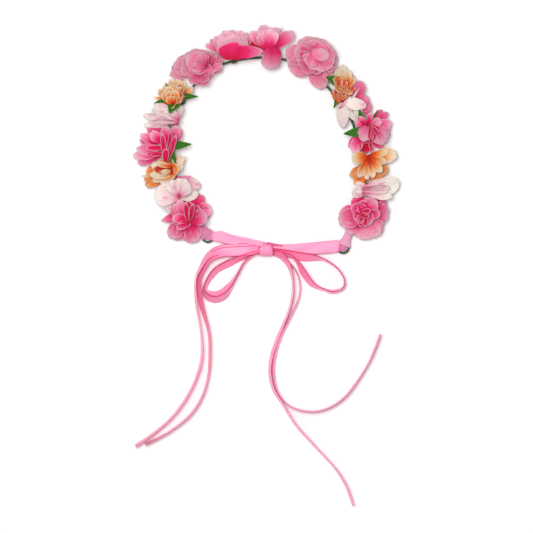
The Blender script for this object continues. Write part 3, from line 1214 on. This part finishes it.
# Leaves: flower, azimuth and lift of the leaf, length, half width, and drop of its root.
LEAVES = [
    ("lily_left", 4, 10, 24, 4, 0), ("lily_left", -70, 8, 24, 4.2, 0),
    ("carnation_left", -110, 38, 22, 7, 0), ("carnation_left", 0, 8, 22, 3, 0),
    ("carnation_left", 197, 6, 23, 2.5, 0), ("carnation_left", 130, 4, 18, 1.5, 0),
    ("carnation_right", 157, 8, 19, 5, 0), ("carnation_right", -112, 6, 26, 3.5, 0),
    ("azalea_right_high", 187, 8, 22, 4.5, 0), ("azalea_right_high", 106, 14, 24, 4, 4),
    ("azalea_right_high", 60, 4, 25, 1.5, 4),
]
# Behind a flower's base point lie its lowest petals and then its calyx, and its
# leaves start as far back and down as this.
PETAL_LAYER, CALYX_L = 1.2, 4.5
LEAF_BACK, LEAF_DOWN = 3.2, 2.0
# Radius and height of the calyx cup, from its foot to its mouth.
CUP_SIDE = np.array([(0.3, 0), (1.7, 0.1), (2.9, 1.3), (4.0, 2.9), (4.5, 4.2)])
SEPALS, SEPAL_L, SEPAL_W = 5, 6.5, 1.7
# Radius of the stem at its ends, its sag, and how far from the wire's middle it ends.
STEM_FOOT_R, STEM_END_R, STEM_SAG, STEM_STOP = 1.3, 0.95, 0.8, 1.2


def blade(patches, root, d, s, n, length, u, x, z, rim):
    """A leaf or sepal: u runs along d, x is how far it is along s, and z along n."""
    points = root + (length * u)[..., None] * d + x[..., None] * s + z[..., None] * n
    patches.grid(points, stack(np.abs(x), length * u), stack(u, rim, 0.5))


def leaf(patches, root, azimuth, lift, length, half_w):
    d = heading(azimuth, lift)
    s = heading(azimuth + 90, 0)
    u = np.linspace(0, 1, 18)[:, None]
    v = np.linspace(-1, 1, 9)[None, :]
    half = half_w * (0.1 + 0.95 * np.sin(np.pi * u**0.75) ** 0.85) * (1 - 0.5 * u**3)
    saw = 0.12 * half_w * np.abs(np.sin(22 * u)) * (np.abs(v) == 1)
    z = 1.2 * np.abs(v) * half / half_w + 1.6 * np.sin(np.pi * 0.8 * u) - 2.5 * u**3
    rim = smooth(0.8, 1, np.abs(v))
    blade(patches, root, d, s, np.cross(d, s), length, u, v * (half + saw), z, rim)


def sepal(patches, root, d, n, length, half_w):
    u = np.linspace(0, 1, 8)[:, None]
    v = np.linspace(-1, 1, 5)[None, :]
    half = half_w * np.cos(np.pi / 2 * u) ** 0.7
    z = 0.5 * np.abs(v) * half - 0.8 * u**2
    blade(patches, root, d, unit(np.cross(d, n)), n, length, u, v * half, z, 0.0)


def cup(patches, f, foot, scale):
    """The calyx cup, with a faint lobe under each sepal."""
    angle = spaced_angles(20)
    ring = np.cos(angle)[:, None] * f.down + np.sin(angle)[:, None] * f.side
    grid = []
    for r, h in scale * curve(CUP_SIDE, 3):
        lobe = 1 + 0.1 * np.cos(SEPALS * angle) * h / 4
        grid.append(foot + h * f.axis + (r * lobe)[:, None] * ring)
    u = np.linspace(0, 1, len(grid))[:, None]
    uv = stack(angle[None, :] * 2, 4 * u)
    patches.grid(np.array(grid), uv, stack(u, 0.0, 0.5), closed=True)


def stem(patches, foot):
    """The stem from the cup's foot to the nearest place on the wire."""
    wire = RING[np.argmin(np.linalg.norm(RING - foot, axis=1))]
    t = np.linspace(0, 1, 8)[:, None]
    share = 1 - STEM_STOP / np.linalg.norm(wire - foot)
    path = foot + (wire - foot) * t * share
    path[:, 2] -= STEM_SAG * np.sin(np.pi * t[:, 0])
    tube(patches, path, np.linspace(STEM_FOOT_R, STEM_END_R, 8))


def calyx(f):
    """The green cup with its sepals, the stem to the wire, and the flower's leaves.

    A flower that lies on its side has a smaller cup, set lower.
    """
    patches = Patches()
    scale, drop = (0.6, 3.0) if f.axis[2] < 0.3 else (0.8, 1.5)
    foot = f.base - (PETAL_LAYER + CALYX_L) * f.axis - (0, 0, drop)
    cup(patches, f, foot, scale)
    for k in range(SEPALS):
        angle = 2 * math.pi * k / SEPALS
        out = math.cos(angle) * f.down + math.sin(angle) * f.side
        spread = math.radians(2 + f.vary(8))
        d = math.cos(spread) * out + math.sin(spread) * f.axis
        n = math.cos(spread) * f.axis - math.sin(spread) * out
        root = foot + 3.2 * scale * (f.axis + out)
        sepal(patches, root, d, n, SEPAL_L * scale, SEPAL_W * scale)
    stem(patches, foot)
    root = f.base - LEAF_BACK * f.axis + LEAF_DOWN * f.down
    for name, azimuth, lift, length, half_w, below in LEAVES:
        if name == f.name:
            leaf(patches, root - (0, 0, below), azimuth, lift, length, half_w)
    obj = patches.mesh_object(f.name + "_calyx_and_leaves", GREEN, 0.3)
    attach(obj, CROWN)
    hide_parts(f.name + "_calyx")


for seed, row in enumerate(FLOWERS, 1):
    flower = Flower(*row, seed)
    if flower.name not in FANS:
        flower.fillers()
    for petal in PETAL_ROWS[flower.name]:
        flower.placed(petal[0:3], petal[3:6], petal[6], petal[7])
    flower.finish(CLOTH_SLOTS)
    calyx(flower)

# ---- Floor and light ----

# A wide sheet of paper, a hair below the table's height of 0.
FLOOR_SIZE, FLOOR_Z = 6, -0.0002


def add_floor():
    bpy.ops.mesh.primitive_plane_add(size=FLOOR_SIZE, location=(*VIEW_CENTRE, FLOOR_Z))
    floor = bpy.context.object
    floor.name = "floor"
    floor.data.materials.append(floor_paper())


def add_light(name, place, target, size, power):
    data = bpy.data.lights.new(name, "AREA")
    data.size = size
    data.energy = power
    light = bpy.data.objects.new(name, data)
    light.location = place
    aim = bpy.data.objects.new(name + "_aim", None)
    aim.location = target
    for obj in (light, aim):
        bpy.context.collection.objects.link(obj)
    track = light.constraints.new("TRACK_TO")
    track.target = aim
    track.track_axis = "TRACK_NEGATIVE_Z"
    track.up_axis = "UP_Y"


def add_world(strength):
    world = bpy.data.worlds.new("studio")
    world.use_nodes = True
    background = world.node_tree.nodes["Background"]
    background.inputs[0].default_value = (1, 1, 1, 1)
    background.inputs[1].default_value = strength
    bpy.context.scene.world = world


add_floor()
add_world(strength=0.45)
add_light("overhead", place=(-0.3, 0.2, 2.3), target=(0, -0.1, 0), size=0.9, power=42.0)
bpy.context.scene.view_settings.view_transform = "Standard"
